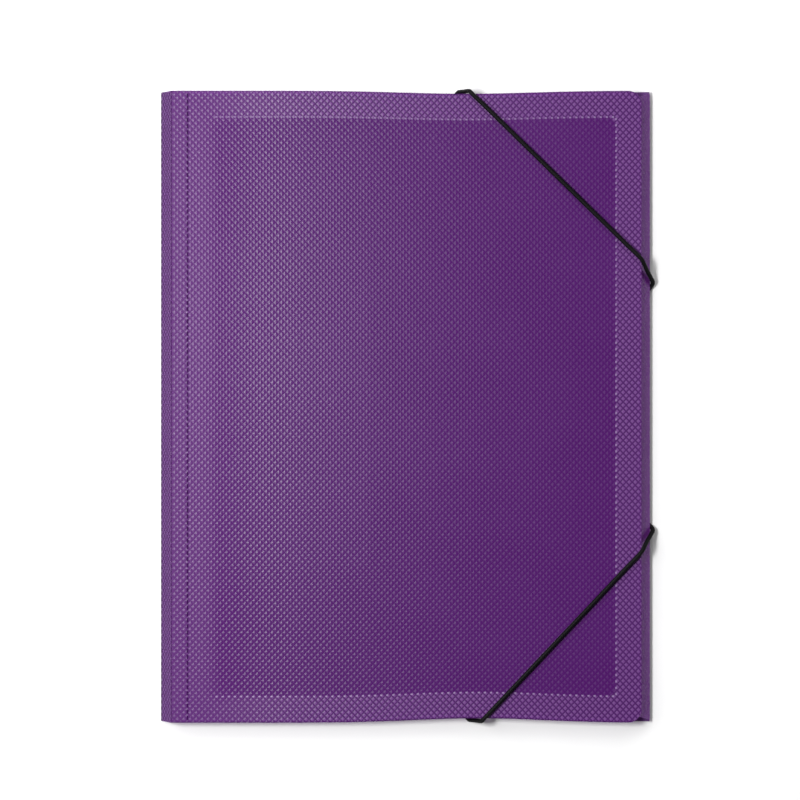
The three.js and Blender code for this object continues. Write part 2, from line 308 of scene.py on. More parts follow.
def outside_window(tree, place, x):
    """0 inside the window and 1 outside it, with an edge that is softer beside the spine."""
    centre = ((WINDOW_LEFT + WINDOW_RIGHT) / 2, 0.0, 0.0)
    half_width = (WINDOW_RIGHT - WINDOW_LEFT) / 2
    reach = (half_width - WINDOW_RADIUS, WINDOW_TOP - WINDOW_RADIUS, 1.0)
    offset = tree.vector("SUBTRACT", place, centre).outputs[0]
    away = tree.vector("ABSOLUTE", offset).outputs[0]
    past = tree.vector("SUBTRACT", away, reach).outputs[0]
    corner = tree.vector("MAXIMUM", past).outputs[0]
    length = tree.vector("LENGTH", corner).outputs["Value"]
    distance = tree.math("SUBTRACT", length, WINDOW_RADIUS)
    softness = tree.ramp(
        x, WINDOW_LEFT - 5 * MM, WINDOW_LEFT + 30 * MM, WINDOW_SOFT, WINDOW_CRISP)
    return tree.ramp(tree.math("DIVIDE", distance, softness), -1.0, 1.0)


def over_hollow(tree, x, tall):
    """1 where no flap lies under the cover, and less where only an end flap does."""
    flap_end = FLAP_FOLD_X - SIDE_FLAP_DEPTH
    beside_flap = tree.ramp(x, flap_end - SIDE_FLAP_FADE, flap_end + SIDE_FLAP_FADE, 1.0, 0.0)
    between_ends = tree.ramp(tall, *END_FLAP_FADE, 1.0, 0.35)
    return tree.math("MULTIPLY", beside_flap, between_ends)


def score_marks_and_highlights(tree, x, y, tall):
    """The flaps' pale score marks, as they show through the cover, with a painted highlight along
    them.
    """
    half_width = (WINDOW_RIGHT - WINDOW_LEFT) / 2
    from_right = tree.math("SUBTRACT", x, WINDOW_RIGHT)
    beside = dash_mask(tree, from_right, y, SIDE_MARK_PITCH, SHOWING_MARK)
    beside = tree.math("MULTIPLY", beside, tree.ramp(tall, WINDOW_TOP - MM, WINDOW_TOP, 1.0, 0.0))
    from_top = tree.math("SUBTRACT", tall, WINDOW_TOP)
    above = dash_mask(tree, from_top, x, MARK_PITCH, SHOWING_MARK)
    from_middle = tree.math("SUBTRACT", x, (WINDOW_LEFT + WINDOW_RIGHT) / 2)
    span = tree.math("ABSOLUTE", from_middle)
    above = tree.math("MULTIPLY", above, tree.ramp(span, half_width - MM, half_width, 1.0, 0.0))
    return tree.math("MAXIMUM", beside, above)


def cover_edge_shade(tree, x, tall):
    """Painted shade in a dark line along the cover's long edges, fainter along its free edge."""
    along_ends = tree.ramp(tall, HALF_LENGTH - 0.7 * MM, HALF_LENGTH - 0.5 * MM)
    along_side = tree.ramp(x, COVER_EDGE_X - 0.4 * MM, COVER_EDGE_X - 0.2 * MM, 0.0, 0.6)
    return tree.math("MULTIPLY", tree.math("MAXIMUM", along_ends, along_side), EDGE_SHADE_STRENGTH)


def cover_material():
    """The cover is deeper in colour where it touches the flaps, with a painted glow round them,
    painted shade in its grooves, crease and edges, and a painted highlight on the score marks.
    """
    tree = Tree("violet_sheet_cover")
    place = flat_place(tree)
    split = tree.add("ShaderNodeSeparateXYZ", {0: place})
    x, y = split.outputs[0], split.outputs[1]
    tall = tree.math("ABSOLUTE", y)
    # Painted glow round the window, and a fainter one over the hollow where no flap lies under
    # the cover
    hollow_glow = tree.math("MULTIPLY", over_hollow(tree, x, tall), HOLLOW_GLOW)
    glow = tree.math("MAXIMUM", outside_window(tree, place, x), hollow_glow)
    tip = diamond_height(tree, x, y)
    beside_spine = tree.ramp(x, WINDOW_LEFT, WINDOW_LEFT + 60 * MM, 1.0, 0.0)
    least_tile = tree.math("MULTIPLY", beside_spine, SPINE_EVENNESS)
    tile = tree.math("MAXIMUM", tree.ramp(tip, 0.05, 0.6), least_tile)
    glow_tile = tree.mix(beside_spine, BORDER_GLOW, FAINT_BORDER_GLOW)
    # Painted shade in the grooves, in the window and round it
    inside = tree.mix(tile, SHADED, DEEP)
    outside = tree.mix(tile, PAINTED_GROOVE_SHADE, glow_tile)
    colour = tree.mix(glow, inside, outside)
    # Painted shade in dashes along the crease, where the gloss is also taken away
    from_crease = tree.math("SUBTRACT", x, CREASE_X)
    crease_shade = dash_mask(tree, from_crease, y, MARK_PITCH, CREASE_MARK)
    colour = tree.mix(crease_shade, colour, PAINTED_CREASE_SHADE)
    # The score marks showing through, with a painted highlight
    marks_and_highlights = tree.math("MULTIPLY", score_marks_and_highlights(tree, x, y, tall), MARK_STRENGTH)
    colour = tree.mix(marks_and_highlights, colour, SCORE_MARK_HIGHLIGHT)
    # Painted shade along the cover's edges
    rim = cover_edge_shade(tree, x, tall)
    colour = tree.mix(rim, colour, PAINTED_EDGE_SHADE)
    least_gloss = tree.ramp(x, WINDOW_LEFT + 20 * MM, WINDOW_LEFT + 90 * MM, *GLOSS_EVENNESS)
    glossy = tree.math("MAXIMUM", tree.ramp(tip, 0.08, 0.5), least_gloss)
    kept = tree.math("SUBTRACT", 1.0, tree.math("MAXIMUM", crease_shade, rim))
    fade = tree.ramp(x, WINDOW_LEFT - 8 * MM, WINDOW_LEFT + 35 * MM, STRIP_GLOSS, 1.0)
    kept = tree.math("MULTIPLY", kept, fade)
    tile_gloss = tree.math("MULTIPLY", glossy, kept)
    plastic(tree, colour, place, OPEN_SHARE["cover"], tile=tile_gloss)
    return tree.material


def outer_material():
    """The outside of the spine and the back, with painted shade in the grooves and a dark line of
    painted shade along the spine's lower bend.
    """
    tree = Tree("violet_sheet_outer")
    place = flat_place(tree)
    split = tree.add("ShaderNodeSeparateXYZ", {0: place})
    tip = diamond_height(tree, split.outputs[0], split.outputs[1])
    tile = tree.ramp(tip, 0.08, 0.5)
    # Painted shade in the grooves
    colour = tree.mix(tile, SPINE_GROOVE_SHADE, SPINE_TILE)
    # Painted shade in a dark line along the spine's lower bend
    bend_place = WALL_X - SPINE_X + 0.3 * MM
    bend = tree.math("ABSOLUTE", tree.math("SUBTRACT", split.outputs[0], bend_place))
    colour = tree.mix(tree.ramp(bend, 0.35 * MM, 0.65 * MM, EDGE_SHADE_STRENGTH, 0.0), colour, PAINTED_EDGE_SHADE)
    plastic(tree, colour, place, OPEN_SHARE["outer"], tile=tile, gloss=SPINE_GLOSS)
    return tree.material


def inner_material():
    """The inside of the sheet has no diamonds and is less glossy."""
    tree = Tree("violet_sheet_inner")
    plastic(tree, INNER, flat_place(tree), OPEN_SHARE["inner"], INNER_ROUGHNESS)
    return tree.material


def flap_material():
    """The flaps carry two rows of dashes, pale where the score has strained the sheet. Their
    walls are painted lighter, as painted light.
    """
    tree = Tree("violet_sheet_flap")
    place = flat_place(tree)
    split = tree.add("ShaderNodeSeparateXYZ", {0: place})
    away, along = split.outputs[0], split.outputs[1]
    from_outer = tree.math("SUBTRACT", away, SCORES[0])
    from_inner = tree.math("SUBTRACT", away, SCORES[1])
    inner = dash_mask(tree, from_inner, along, MARK_PITCH, INNER_SCORE_MARK)
    outer = dash_mask(tree, from_outer, along, MARK_PITCH, OUTER_SCORE_MARK)
    strain = tree.math("MAXIMUM", inner, tree.math("MULTIPLY", outer, OUTER_SCORE_STRENGTH))
    # The walls are painted lighter, as painted light for the light they lack
    wall = tree.ramp(away, -0.6 * MM, -0.2 * MM, 1.0, 0.0)
    colour = tree.mix(wall, INNER, PAINTED_LIGHT_WALL)
    colour = tree.mix(strain, colour, STRAINED)
    plastic(tree, colour, place, OPEN_SHARE["flap"], gloss=FLAP_GLOSS)
    return tree.material


# The sheet

def pull_at(x, side):
    """How far the cord draws the long edge in at x."""
    depth, centre = PULL[side]
    return depth * np.exp(-(((x - centre) / PULL_SPREAD) ** 2))


def edge_y(x, side):
    """How far from the middle the long edge lies at x."""
    return HALF_LENGTH - pull_at(x, side)


def back_z(x):
    """The back lies on the table beside the spine and on the cords beside the side wall."""
    t = np.clip((x - RAMP_START_X) / RAMP_WIDTH, 0, 1)
    return BACK_Z + (RAISED_Z - BACK_Z) * t * t * (3 - 2 * t)


def stations(start, end, pitch):
    """Even steps from start to end, as near to the pitch as a whole number allows."""
    count = max(2, round(abs(end - start) / pitch))
    return np.linspace(start, end, count + 1)


def profile_normals(path):
    """Mitred normals of a path in a plane, on its left side."""
    steps = np.diff(path, axis=0)
    steps /= np.linalg.norm(steps, axis=1)[:, None]
    left = np.stack([-steps[:, 1], steps[:, 0]], axis=1)
    before = np.vstack([left[:1], left])
    after = np.vstack([left, left[-1:]])
    both = before + after
    length = np.einsum("ij,ij->i", both, before)
    return both / np.maximum(length, 0.6)[:, None]


def rim_edges(triangles, size):
    """Edges that only one triangle has."""
    edges = np.vstack([triangles[:, [0, 1]], triangles[:, [1, 2]], triangles[:, [2, 0]]])
    code = edges[:, 0] * size + edges[:, 1]
    back = edges[:, 1] * size + edges[:, 0]
    return edges[~np.isin(code, back)]


def grid_triangles(points, normal, odd, dropped):
    """Two triangles a cell, cut so that each odd point is the tip of a diamond."""
    across, along = odd.shape
    index = np.arange(across * along).reshape(across, along)
    a, b = index[:-1, :-1], index[1:, :-1]
    c, d = index[1:, 1:], index[:-1, 1:]
    split = odd[:-1, :-1][..., None]
    first = np.where(split, np.stack([a, b, d], -1), np.stack([a, b, c], -1)).reshape(-1, 3)
    second = np.where(split, np.stack([b, c, d], -1), np.stack([a, c, d], -1)).reshape(-1, 3)
    triangles = np.vstack([first, second])
    keys = np.round(points / SAME_PLACE).astype(np.int64)
    _, lead, same = np.unique(keys, axis=0, return_index=True, return_inverse=True)
    triangles = lead[same.reshape(-1)[triangles]]
    if dropped is not None:
        triangles = triangles[~dropped.reshape(-1)[triangles].all(axis=1)]
    corners = points[triangles]
    cross = np.cross(corners[:, 1] - corners[:, 0], corners[:, 2] - corners[:, 0])
    whole = np.linalg.norm(cross, axis=1) > LEAST_AREA
    triangles, cross = triangles[whole], cross[whole]
    facing = np.einsum("ij,ij->i", cross, normal.reshape(-1, 3)[triangles[:, 0]])
    return triangles[:, ::-1] if np.median(facing) < 0 else triangles


def mesh_from(name, vertices, faces, slots, uv):
    """A flat-shaded mesh whose faces carry a material slot and a flat UV map."""
    loops = np.concatenate([group.reshape(-1) for group in faces])
    counts = np.concatenate([np.full(len(group), group.shape[1]) for group in faces])
    starts = np.concatenate([[0], np.cumsum(counts)[:-1]])
    kinds = np.concatenate([np.full(len(group), slot) for group, slot in zip(faces, slots)])
    mesh = bpy.data.meshes.new(name)
    mesh.vertices.add(len(vertices))
    mesh.vertices.foreach_set("co", vertices.reshape(-1).astype(np.float32))
    mesh.loops.add(len(loops))
    mesh.loops.foreach_set("vertex_index", loops.astype(np.int32))
    mesh.polygons.add(len(counts))
    mesh.polygons.foreach_set("loop_start", starts.astype(np.int32))
    mesh.polygons.foreach_set("material_index", kinds.astype(np.int32))
    mesh.update(calc_edges=True)
    layer = mesh.uv_layers.new(name="flat")
    layer.data.foreach_set("uv", uv[loops].reshape(-1).astype(np.float32))
    mesh.polygons.foreach_set("use_smooth", np.zeros(len(counts), dtype=bool))
    mesh.validate()
    return mesh


def shell(name, middle, normal, flat, dropped=None, clipped=None):
    """A closed sheet round a grid of points, with diamonds pressed out of its outer face.

    Triangles whose points are all dropped are left out, and clipped points aren't raised.
    """
    rows, columns = np.indices(middle.shape[:2])
    odd = (rows + columns) % 2 == 1
    raised = odd & ~clipped if clipped is not None else odd
    outer = middle + normal * (HALF + DIAMOND_HEIGHT * (raised - 0.5))[..., None]
    inner = middle - normal * HALF
    triangles = grid_triangles(middle.reshape(-1, 3), normal, odd, dropped)
    size = odd.size
    rim = rim_edges(triangles, size)
    start, end = rim[:, 0], rim[:, 1]
    walls = np.stack([start, start + size, end + size, end], axis=1)
    faces = [triangles, triangles[:, ::-1] + size, walls]
    used = np.unique(np.concatenate([group.reshape(-1) for group in faces]))
    remap = np.full(2 * size, -1)
    remap[used] = np.arange(len(used))
    vertices = np.vstack([outer.reshape(-1, 3), inner.reshape(-1, 3)])[used]
    uv = np.tile(flat.reshape(-1, 2), (2, 1))[used]
    return mesh_from(name, vertices, [remap[group] for group in faces], (0, 1, 0), uv)


def add_object(name, mesh, materials):
    for material in materials:
        mesh.materials.append(material)
    piece = bpy.data.objects.new(name, mesh)
    bpy.context.scene.collection.objects.link(piece)
    return piece


def shifted(points):
    """Points given from the folder's middle, put in the shared frame."""
    return points + np.array([MIDDLE_X, MIDDLE_Y, 0])


def profile_grid(path, rows):
    """A grid of points from a path in X and Z swept along Y."""
    normal = profile_normals(path)
    x = np.repeat(path[:, :1], len(rows), axis=1)
    z = np.repeat(path[:, 1:], len(rows), axis=1)
    y = np.repeat(rows[None, :], len(path), axis=0)
    middle = np.stack([x, y, z], axis=-1)
    turned = np.stack([normal[:, 0], np.zeros(len(path)), normal[:, 1]], axis=-1)
    return middle, np.repeat(turned[:, None, :], len(rows), axis=1)


def pulled(middle):
    """Long edges drawn in by the cords, most at the edge and fading towards the middle."""
    out = middle.copy()
    for side in (1, -1):
        beside = np.clip(side * middle[..., 1] / HALF_LENGTH, 0, 1)
        out[..., 1] -= side * pull_at(middle[..., 0], side) * beside
    return out


def path_lengths(path):
    """How far along the path each of its points is."""
    steps = np.linalg.norm(np.diff(path, axis=0), axis=1)
    return np.concatenate([[0], np.cumsum(steps)])


def round_corners(x, y, edge_x, half_y, radius):
    """Points past a rounded corner are drawn onto its arc, and marked."""
    dx = x - (edge_x - radius)
    dy = np.abs(y) - (half_y - radius)
    reach = np.hypot(dx, dy)
    past = (dx > 0) & (dy > 0) & (reach > radius)
    scale = np.where(past, radius / np.maximum(reach, 1e-9), 1)
    new_x = np.where(past, edge_x - radius + dx * scale, x)
    new_y = np.where(past, np.sign(y) * (half_y - radius + dy * scale), y)
    return new_x, new_y, past


def cover_mesh():
    """The strip beside the spine, the crease and the cover, all in one."""
    strip = stations(STRIP_X, CREASE_X, DIAMOND_X)
    cover = stations(CREASE_X, COVER_EDGE_X, DIAMOND_X)
    x = np.concatenate([strip, cover[1:]])
    path = np.stack([x, np.full(len(x), COVER_Z)], axis=1)
    rows = stations(-HALF_LENGTH, HALF_LENGTH, DIAMOND_Y)
    middle, normal = profile_grid(path, rows)
    new_x, new_y, past = round_corners(
        middle[..., 0], middle[..., 1], COVER_EDGE_X, HALF_LENGTH, CORNER_RADIUS)
    middle[..., 0], middle[..., 1] = new_x, new_y
    flat = middle[..., :2].copy()
    middle = pulled(middle)
    return shell("cover_sheet", shifted(middle), normal, flat, dropped=past, clipped=past)


def back_mesh():
    """The spine and the back."""
    spine = np.linspace([STRIP_X, COVER_Z], [SPINE_X, BACK_Z], 9)
    back_x = stations(SPINE_X, WALL_X, DIAMOND_X)
    back = np.stack([back_x, back_z(back_x)], axis=1)
    path = np.vstack([spine, back[1:]])[::-1]
    rows = stations(-HALF_LENGTH, HALF_LENGTH, DIAMOND_Y)
    middle, normal = profile_grid(path, rows)
    lengths = np.repeat(path_lengths(path)[:, None], len(rows), axis=1)
    flat = np.stack([lengths, middle[..., 1]], axis=-1)
    return shell("back", shifted(pulled(middle)), normal, flat)


def side_flap_mesh():
    """The side wall and the flap folded in from its top."""
    wall = np.linspace([WALL_X, RAISED_Z], [FLAP_FOLD_X, SIDE_FLAP_Z], 7)
    flap_x = stations(FLAP_FOLD_X, FLAP_FOLD_X - SIDE_FLAP_DEPTH, DIAMOND_X)
    flap = np.stack([flap_x, np.full(len(flap_x), SIDE_FLAP_Z)], axis=1)
    path = np.vstack([wall, flap[1:]])[::-1]
    wall_half = HALF_LENGTH - SIDE_WALL_SET_BACK
    fold_half = HALF_LENGTH - SIDE_FLAP_SET_BACK
    rows = stations(-wall_half, wall_half, DIAMOND_Y)
    middle, normal = profile_grid(path, rows)
    x, y, z = middle[..., 0], middle[..., 1], middle[..., 2]
    up = np.clip((z - RAISED_Z) / (SIDE_FLAP_Z - RAISED_Z), 0, 1)
    inward = np.clip((FLAP_FOLD_X - x) / SIDE_FLAP_DEPTH, 0, 1)
    half = wall_half + (fold_half - wall_half) * up - FLAP_TAPER * inward
    clipped = np.abs(y) > half
    y = np.clip(y, -half, half)
    free_x = FLAP_FOLD_X - SIDE_FLAP_DEPTH
    turned_x, y, past = round_corners(-x, y, -free_x, fold_half - FLAP_TAPER, FLAP_RADIUS)
    middle = np.stack([-turned_x, y, z], axis=-1)
    flat = np.stack([FLAP_FOLD_X - middle[..., 0], middle[..., 1]], axis=-1)
    flat[..., 0] = np.where(z < SIDE_FLAP_Z - 1e-6, -np.abs(flat[..., 0]), flat[..., 0])
    return shell(
        "side_flap", shifted(middle), normal, flat, dropped=past, clipped=clipped | past)


def end_flap_mesh(side, depth):
    """A wall that stands on the back's long edge, and the flap folded in from its top."""
    start = STRIP_X + END_WALL_SET_BACK
    end = FLAP_FOLD_X - END_WALL_SET_BACK
    x = stations(start, end, DIAMOND_X)
    fold = HALF_LENGTH - HALF - END_WALL_LEAN
    wall_rows = np.linspace(0, 1, 6)
    flap_d = stations(0, depth, DIAMOND_Y)
    foot_z = back_z(x)[:, None]
    foot_y = (edge_y(x, side) - HALF)[:, None]
    fold_y = foot_y - END_WALL_LEAN
    wall_y = foot_y + (fold_y - foot_y) * wall_rows
    wall_z = foot_z + (END_FLAP_Z - foot_z) * wall_rows
    fade = 1 - flap_d[1:] / depth
    flap_y = fold - flap_d[1:] + (fold_y - fold) * fade
    flap_z = np.full_like(flap_y, END_FLAP_Z)
    y = np.concatenate([wall_y, flap_y], axis=1)
    z = np.concatenate([wall_z, flap_z], axis=1)
    away = np.concatenate([(wall_rows - 1) * (END_FLAP_Z - BACK_Z), flap_d[1:]])
    grid_x = np.repeat(x[:, None], y.shape[1], axis=1)
    middle_x = (start + end) / 2
    half = (end - start) / 2
    inward = np.clip(away / depth, 0, 1)[None, :]
    limit = half - FLAP_TAPER * inward
    offset = np.clip(grid_x - middle_x, -limit, limit)
    clipped = np.abs(grid_x - middle_x) > limit
    away_grid = np.repeat(away[None, :], len(x), axis=0)
    new_away, offset, past = round_corners(
        away_grid, offset, depth, half - FLAP_TAPER, FLAP_RADIUS)
    y = y + (away_grid - new_away)
    normal = np.zeros(y.shape + (3,))
    wall_count = len(wall_rows)
    lean = math.atan2(END_WALL_LEAN, END_FLAP_Z - RAISED_Z)
    normal[:, :wall_count - 1] = (0, side * math.cos(lean), math.sin(lean))
    normal[:, wall_count:] = (0, 0, 1)
    normal[:, wall_count - 1] = (0, side * 0.8, 1.0)
    middle = np.stack([offset + middle_x, side * y, z], axis=-1)
    flat = np.stack([new_away, middle[..., 0]], axis=-1)
    return shell(
        f"end_flap_{side}", shifted(middle), normal, flat, dropped=past, clipped=clipped | past)


def build_sheets():
    """The cover, its strip and its crease are one piece, left apart from the folder, and the rest
    of the sheet stays with the folder.
    """
    cover_look, outer_look = cover_material(), outer_material()
    inner_look, flap_look = inner_material(), flap_material()
    cover = add_object("cover_sheet", cover_mesh(), [cover_look, inner_look])
    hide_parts("front_cover")
    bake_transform(cover)
    back = add_object("back_sheet", back_mesh(), [outer_look, inner_look])
    flaps = [
        ("side_flap", side_flap_mesh()),
        ("top_flap", end_flap_mesh(1, TOP_FLAP_DEPTH)),
        ("bottom_flap", end_flap_mesh(-1, BOTTOM_FLAP_DEPTH)),
    ]
    pieces = [back] + [add_object(name, mesh, [flap_look, inner_look]) for name, mesh in flaps]
    for piece in pieces:
        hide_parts("folder_body")
        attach(piece, "folder")


# Cords. Each lies on the cover, clears each edge that it bends round, and ends in a crimp

FRONT_Z = cover_high.z + CLEARANCE + CORD_DIAMETER / 2
STRAND_Z = STRAND_LIFT + CORD_DIAMETER / 2
BEND = CLEARANCE + CORD_DIAMETER / 2
HOLE_Z = RAISED_Z - HALF
CORD_END_Z = RAISED_Z + HALF + 2.5 * MM
END_HOLE_INSET = 5.3 * MM
SIDE_HOLE_INSET = 11.3 * MM

# Shares of a bend's radius, at 45 degrees round it and at about 63 degrees
DIAGONAL = 0.71
EARLY_OUT = 0.89
EARLY_UP = 0.46

# Each cord's route, measured from the folder's middle
UPPER_CORD = {
    "side": 1,
    "hole_x": 19.2 * MM,
    "foot_x": 25.3 * MM,
    "head_x": 33.2 * MM,
    "middle": [
        (38 * MM, 151.9 * MM), (60 * MM, 130.4 * MM), (88 * MM, 103 * MM), (110 * MM, 81.5 * MM),
    ],
    "cover_y": 73.6 * MM,
    "fold_y": 59.4 * MM,
    "side_hole_y": 46.5 * MM,
}
LOWER_CORD = {
    "side": -1,
    "hole_x": 24.5 * MM,
    "foot_x": 30.6 * MM,
    "head_x": 39.3 * MM,
    "middle": [
        (47.2 * MM, -147.4 * MM), (66 * MM, -127.5 * MM), (90 * MM, -102.1 * MM),
        (110 * MM, -80.9 * MM),
    ],
    "cover_y": 72.4 * MM,
    "fold_y": 59.4 * MM,
    "side_hole_y": 46.5 * MM,
}


def strand_points(anchor, x, y):
    """Down through the hole and along under the back."""
    run = np.array([x, y]) - np.array(anchor)
    run /= np.linalg.norm(run)
    reach = 0.3 * BEND
    steps = [
        (0, CORD_END_Z),
        (0, HOLE_Z + HALF),
        (reach, STRAND_Z + BEND - 2.2 * reach),
        (BEND, STRAND_Z),
        (3 * BEND, STRAND_Z),
    ]
    return [(anchor[0] + run[0] * s, anchor[1] + run[1] * s, z) for s, z in steps]


def long_edge_points(side, foot_x, head_x):
    """Round the folder's long edge, from under the back to the front."""
    foot_y, head_y = side * edge_y(foot_x, side), side * edge_y(head_x, side)
    slant, out = DIAGONAL * BEND, side * BEND
    return [
        (foot_x, foot_y, STRAND_Z),
        (foot_x + 0.8 * MM, foot_y + side * slant, HOLE_Z - slant),
        (foot_x + 1.3 * MM, foot_y + out, HOLE_Z),
        ((foot_x + head_x) / 2, (foot_y + head_y) / 2 + out, (RAISED_Z + COVER_Z) / 2),
        (head_x - 1.6 * MM, head_y + out, cover_high.z - HALF),
        (head_x - 0.9 * MM, head_y + side * slant, cover_high.z + slant),
        (head_x, head_y, FRONT_Z),
    ]


def fore_edge_points(side, cover_y, fold_y):
    """Over the cover's free edge, down the side wall and under the back."""
    fold_bend = BEND + HALF
    top = cover_high.z
    half_way_x, half_way_z = (COVER_EDGE_X + WALL_X) / 2, (top + RAISED_Z) / 2
    steps = [
        (0, COVER_EDGE_X, FRONT_Z),
        (0.16, COVER_EDGE_X + EARLY_OUT * BEND, top + EARLY_UP * BEND),
        (0.45, half_way_x + EARLY_OUT * BEND, half_way_z + 0.5 * BEND),
        (0.75, WALL_X + EARLY_OUT * fold_bend, RAISED_Z + EARLY_UP * fold_bend),
        (0.82, WALL_X + fold_bend, RAISED_Z),
        (0.9, WALL_X + DIAGONAL * fold_bend, RAISED_Z - DIAGONAL * fold_bend),
        (1, WALL_X, STRAND_Z),
    ]
    return [(x, side * (cover_y + (fold_y - cover_y) * share), z) for share, x, z in steps]


def cord_route(side, hole_x, foot_x, head_x, middle, cover_y, fold_y, side_hole_y):
    """From the hole near the long edge, over the folder's corner, to the hole beside the fold."""
    end_hole = (hole_x, side * (edge_y(hole_x, side) - END_HOLE_INSET))
    side_hole = (HALF_WIDTH - SIDE_HOLE_INSET, side * side_hole_y)
    points = strand_points(end_hole, foot_x, side * edge_y(foot_x, side))
    points += long_edge_points(side, foot_x, head_x)
    points += [(x, y, FRONT_Z) for x, y in middle]
    points += fore_edge_points(side, cover_y, fold_y)
    points += strand_points(side_hole, WALL_X, side * fold_y)[::-1]
    return shifted(np.array(points))


def smooth_route(points, per_span=24):
    """A centripetal curve through the chosen points."""
    before = 2 * points[0] - points[1]
    after = 2 * points[-1] - points[-2]
    full = np.vstack([before, points, after])
    curve = []
    for p0, p1, p2, p3 in zip(full, full[1:], full[2:], full[3:]):
        t0 = 0.0
        t1 = t0 + np.linalg.norm(p1 - p0) ** 0.5
        t2 = t1 + np.linalg.norm(p2 - p1) ** 0.5
        t3 = t2 + np.linalg.norm(p3 - p2) ** 0.5
        t = np.linspace(t1, t2, per_span, endpoint=False)[:, None]
        a1 = (t1 - t) / (t1 - t0) * p0 + (t - t0) / (t1 - t0) * p1
        a2 = (t2 - t) / (t2 - t1) * p1 + (t - t1) / (t2 - t1) * p2
        a3 = (t3 - t) / (t3 - t2) * p2 + (t - t2) / (t3 - t2) * p3
        b1 = (t2 - t) / (t2 - t0) * a1 + (t - t0) / (t2 - t0) * a2
        b2 = (t3 - t) / (t3 - t1) * a2 + (t - t1) / (t3 - t1) * a3
        curve.append((t2 - t) / (t2 - t1) * b1 + (t - t1) / (t2 - t1) * b2)
    return np.vstack(curve + [points[-1:]])


def evenly(points, step):
    """The same route, at even steps."""
    lengths = path_lengths(points)
    wanted = np.linspace(0, lengths[-1], round(lengths[-1] / step) + 1)
    return np.stack([np.interp(wanted, lengths, points[:, k]) for k in range(3)], axis=1)


def frames_along(points):
    """Two directions across the route at each point, carried along without twist."""
    tangents = np.gradient(points, axis=0)
    tangents /= np.linalg.norm(tangents, axis=1)[:, None]
    side = np.cross(tangents[0], (0.3, 0.9, 0.2))
    first = []
    for tangent in tangents:
        side = side - tangent * np.dot(side, tangent)
        side /= np.linalg.norm(side)
        first.append(side)
    first = np.array(first)
    return first, np.cross(tangents, first)


def braided_cord(name, route, look):
    """A round cord whose braid of eight strands stands a little proud of it."""
    sides, strands = 24, 8
    step, lay, relief = 0.22 * MM, 3.4 * MM, 0.07 * MM
    points = evenly(smooth_route(route), step)
    first, second = frames_along(points)
    angle = np.linspace(0, 2 * math.pi, sides, endpoint=False)
    along = (np.arange(len(points)) * step)[:, None]
    turn = 2 * math.pi * along / lay
    wave = strands / 2 * angle[None, :]
    crossing = np.abs(np.cos(wave + turn)) + np.abs(np.cos(wave - turn))
    radius = CORD_DIAMETER / 2 - relief + relief * (crossing - 0.7)
    ring = (
        first[:, None, :] * np.cos(angle)[None, :, None]
        + second[:, None, :] * np.sin(angle)[None, :, None])
    vertices = points[:, None, :] + ring * radius[..., None]
    count = len(points)
    index = np.arange(count * sides).reshape(count, sides)
    right = np.roll(index, -1, axis=1)
    quads = np.stack([index[:-1], right[:-1], right[1:], index[1:]], axis=-1).reshape(-1, 4)
    faces = quads.tolist() + [index[0, ::-1].tolist(), index[-1].tolist()]
    mesh = bpy.data.meshes.new(name)
    mesh.from_pydata(vertices.reshape(-1, 3).tolist(), [], faces)
    layer = mesh.uv_layers.new(name="flat")
    corners = np.zeros(len(mesh.loops), dtype=np.int32)
    mesh.loops.foreach_get("vertex_index", corners)
    ring_place, ring_side = corners // sides, corners % sides
    uv = np.stack([ring_place * step, ring_side / sides], axis=1)
    layer.data.foreach_set("uv", uv.reshape(-1).astype(np.float32))
    mesh.polygons.foreach_set("use_smooth", np.ones(len(mesh.polygons), dtype=bool))
    return add_object(name, mesh, [look])


def cord_material():
    """Black woven elastic, nearly without shine."""
    tree = Tree("black_braid")
    place = tree.add("ShaderNodeTexCoord").outputs["Object"]
    fibre = tree.noise(place, 2600.0, 4.0, 0.7)
    colour = tree.mix(tree.ramp(fibre, 0.35, 0.75), BLACK, WORN_BLACK)
    shader = tree.add("ShaderNodeBsdfPrincipled", {
        "Base Color": colour,
        "Roughness": 0.5,
        "Specular IOR Level": 0.06,
        "Normal": tree.bump(fibre, 0.06 * MM, 0.6),
    })
    tree.links.new(shader.outputs[0], tree.output.inputs[0])
    return tree.material


def steel_material():
    """Plain steel with fine scuffs."""
    tree = Tree("plain_steel")
    place = tree.add("ShaderNodeTexCoord").outputs["Object"]
    scuffs = tree.noise(place, 1500.0, 5.0, 0.65)
    rough = tree.ramp(scuffs, 0.3, 0.8, 0.22, 0.48)
    shader = tree.add("ShaderNodeBsdfPrincipled", {
        "Base Color": tree.mix(scuffs, *STEEL),
        "Metallic": 1.0,
        "Roughness": rough,
        "Normal": tree.bump(scuffs, 0.02 * MM, 0.4),
    })
    tree.links.new(shader.outputs[0], tree.output.inputs[0])
    return tree.material


def build_cords():
    look = cord_material()
    for name, route in (("elastic_cord_top", UPPER_CORD), ("elastic_cord_bottom", LOWER_CORD)):
        piece = braided_cord(f"{name}_braid", cord_route(**route), look)
        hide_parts(name)
        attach(piece, "folder")


def dress_metal_ends():
    """The crimped ends are CAD pieces, and only their material is set."""
    look = steel_material()
    for name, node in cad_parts.items():
        if name.startswith("cord_end"):
            for material_slot in node.material_slots:
                material_slot.material = look


# The studio

PIXEL = 0.5 * MM
PICTURE_WIDTH = 800 * PIXEL
SENSOR_WIDTH = 36
CAMERA_RANGE = 1.83
PICTURE_CENTRE = (MIDDLE_X - 5.5 * PIXEL, MIDDLE_Y + 6.75 * PIXEL)
FLOOR_HALF = 3.0
FLOOR_Z = -0.08 * MM
FOLDER_CENTRE = (0, 0, 0)

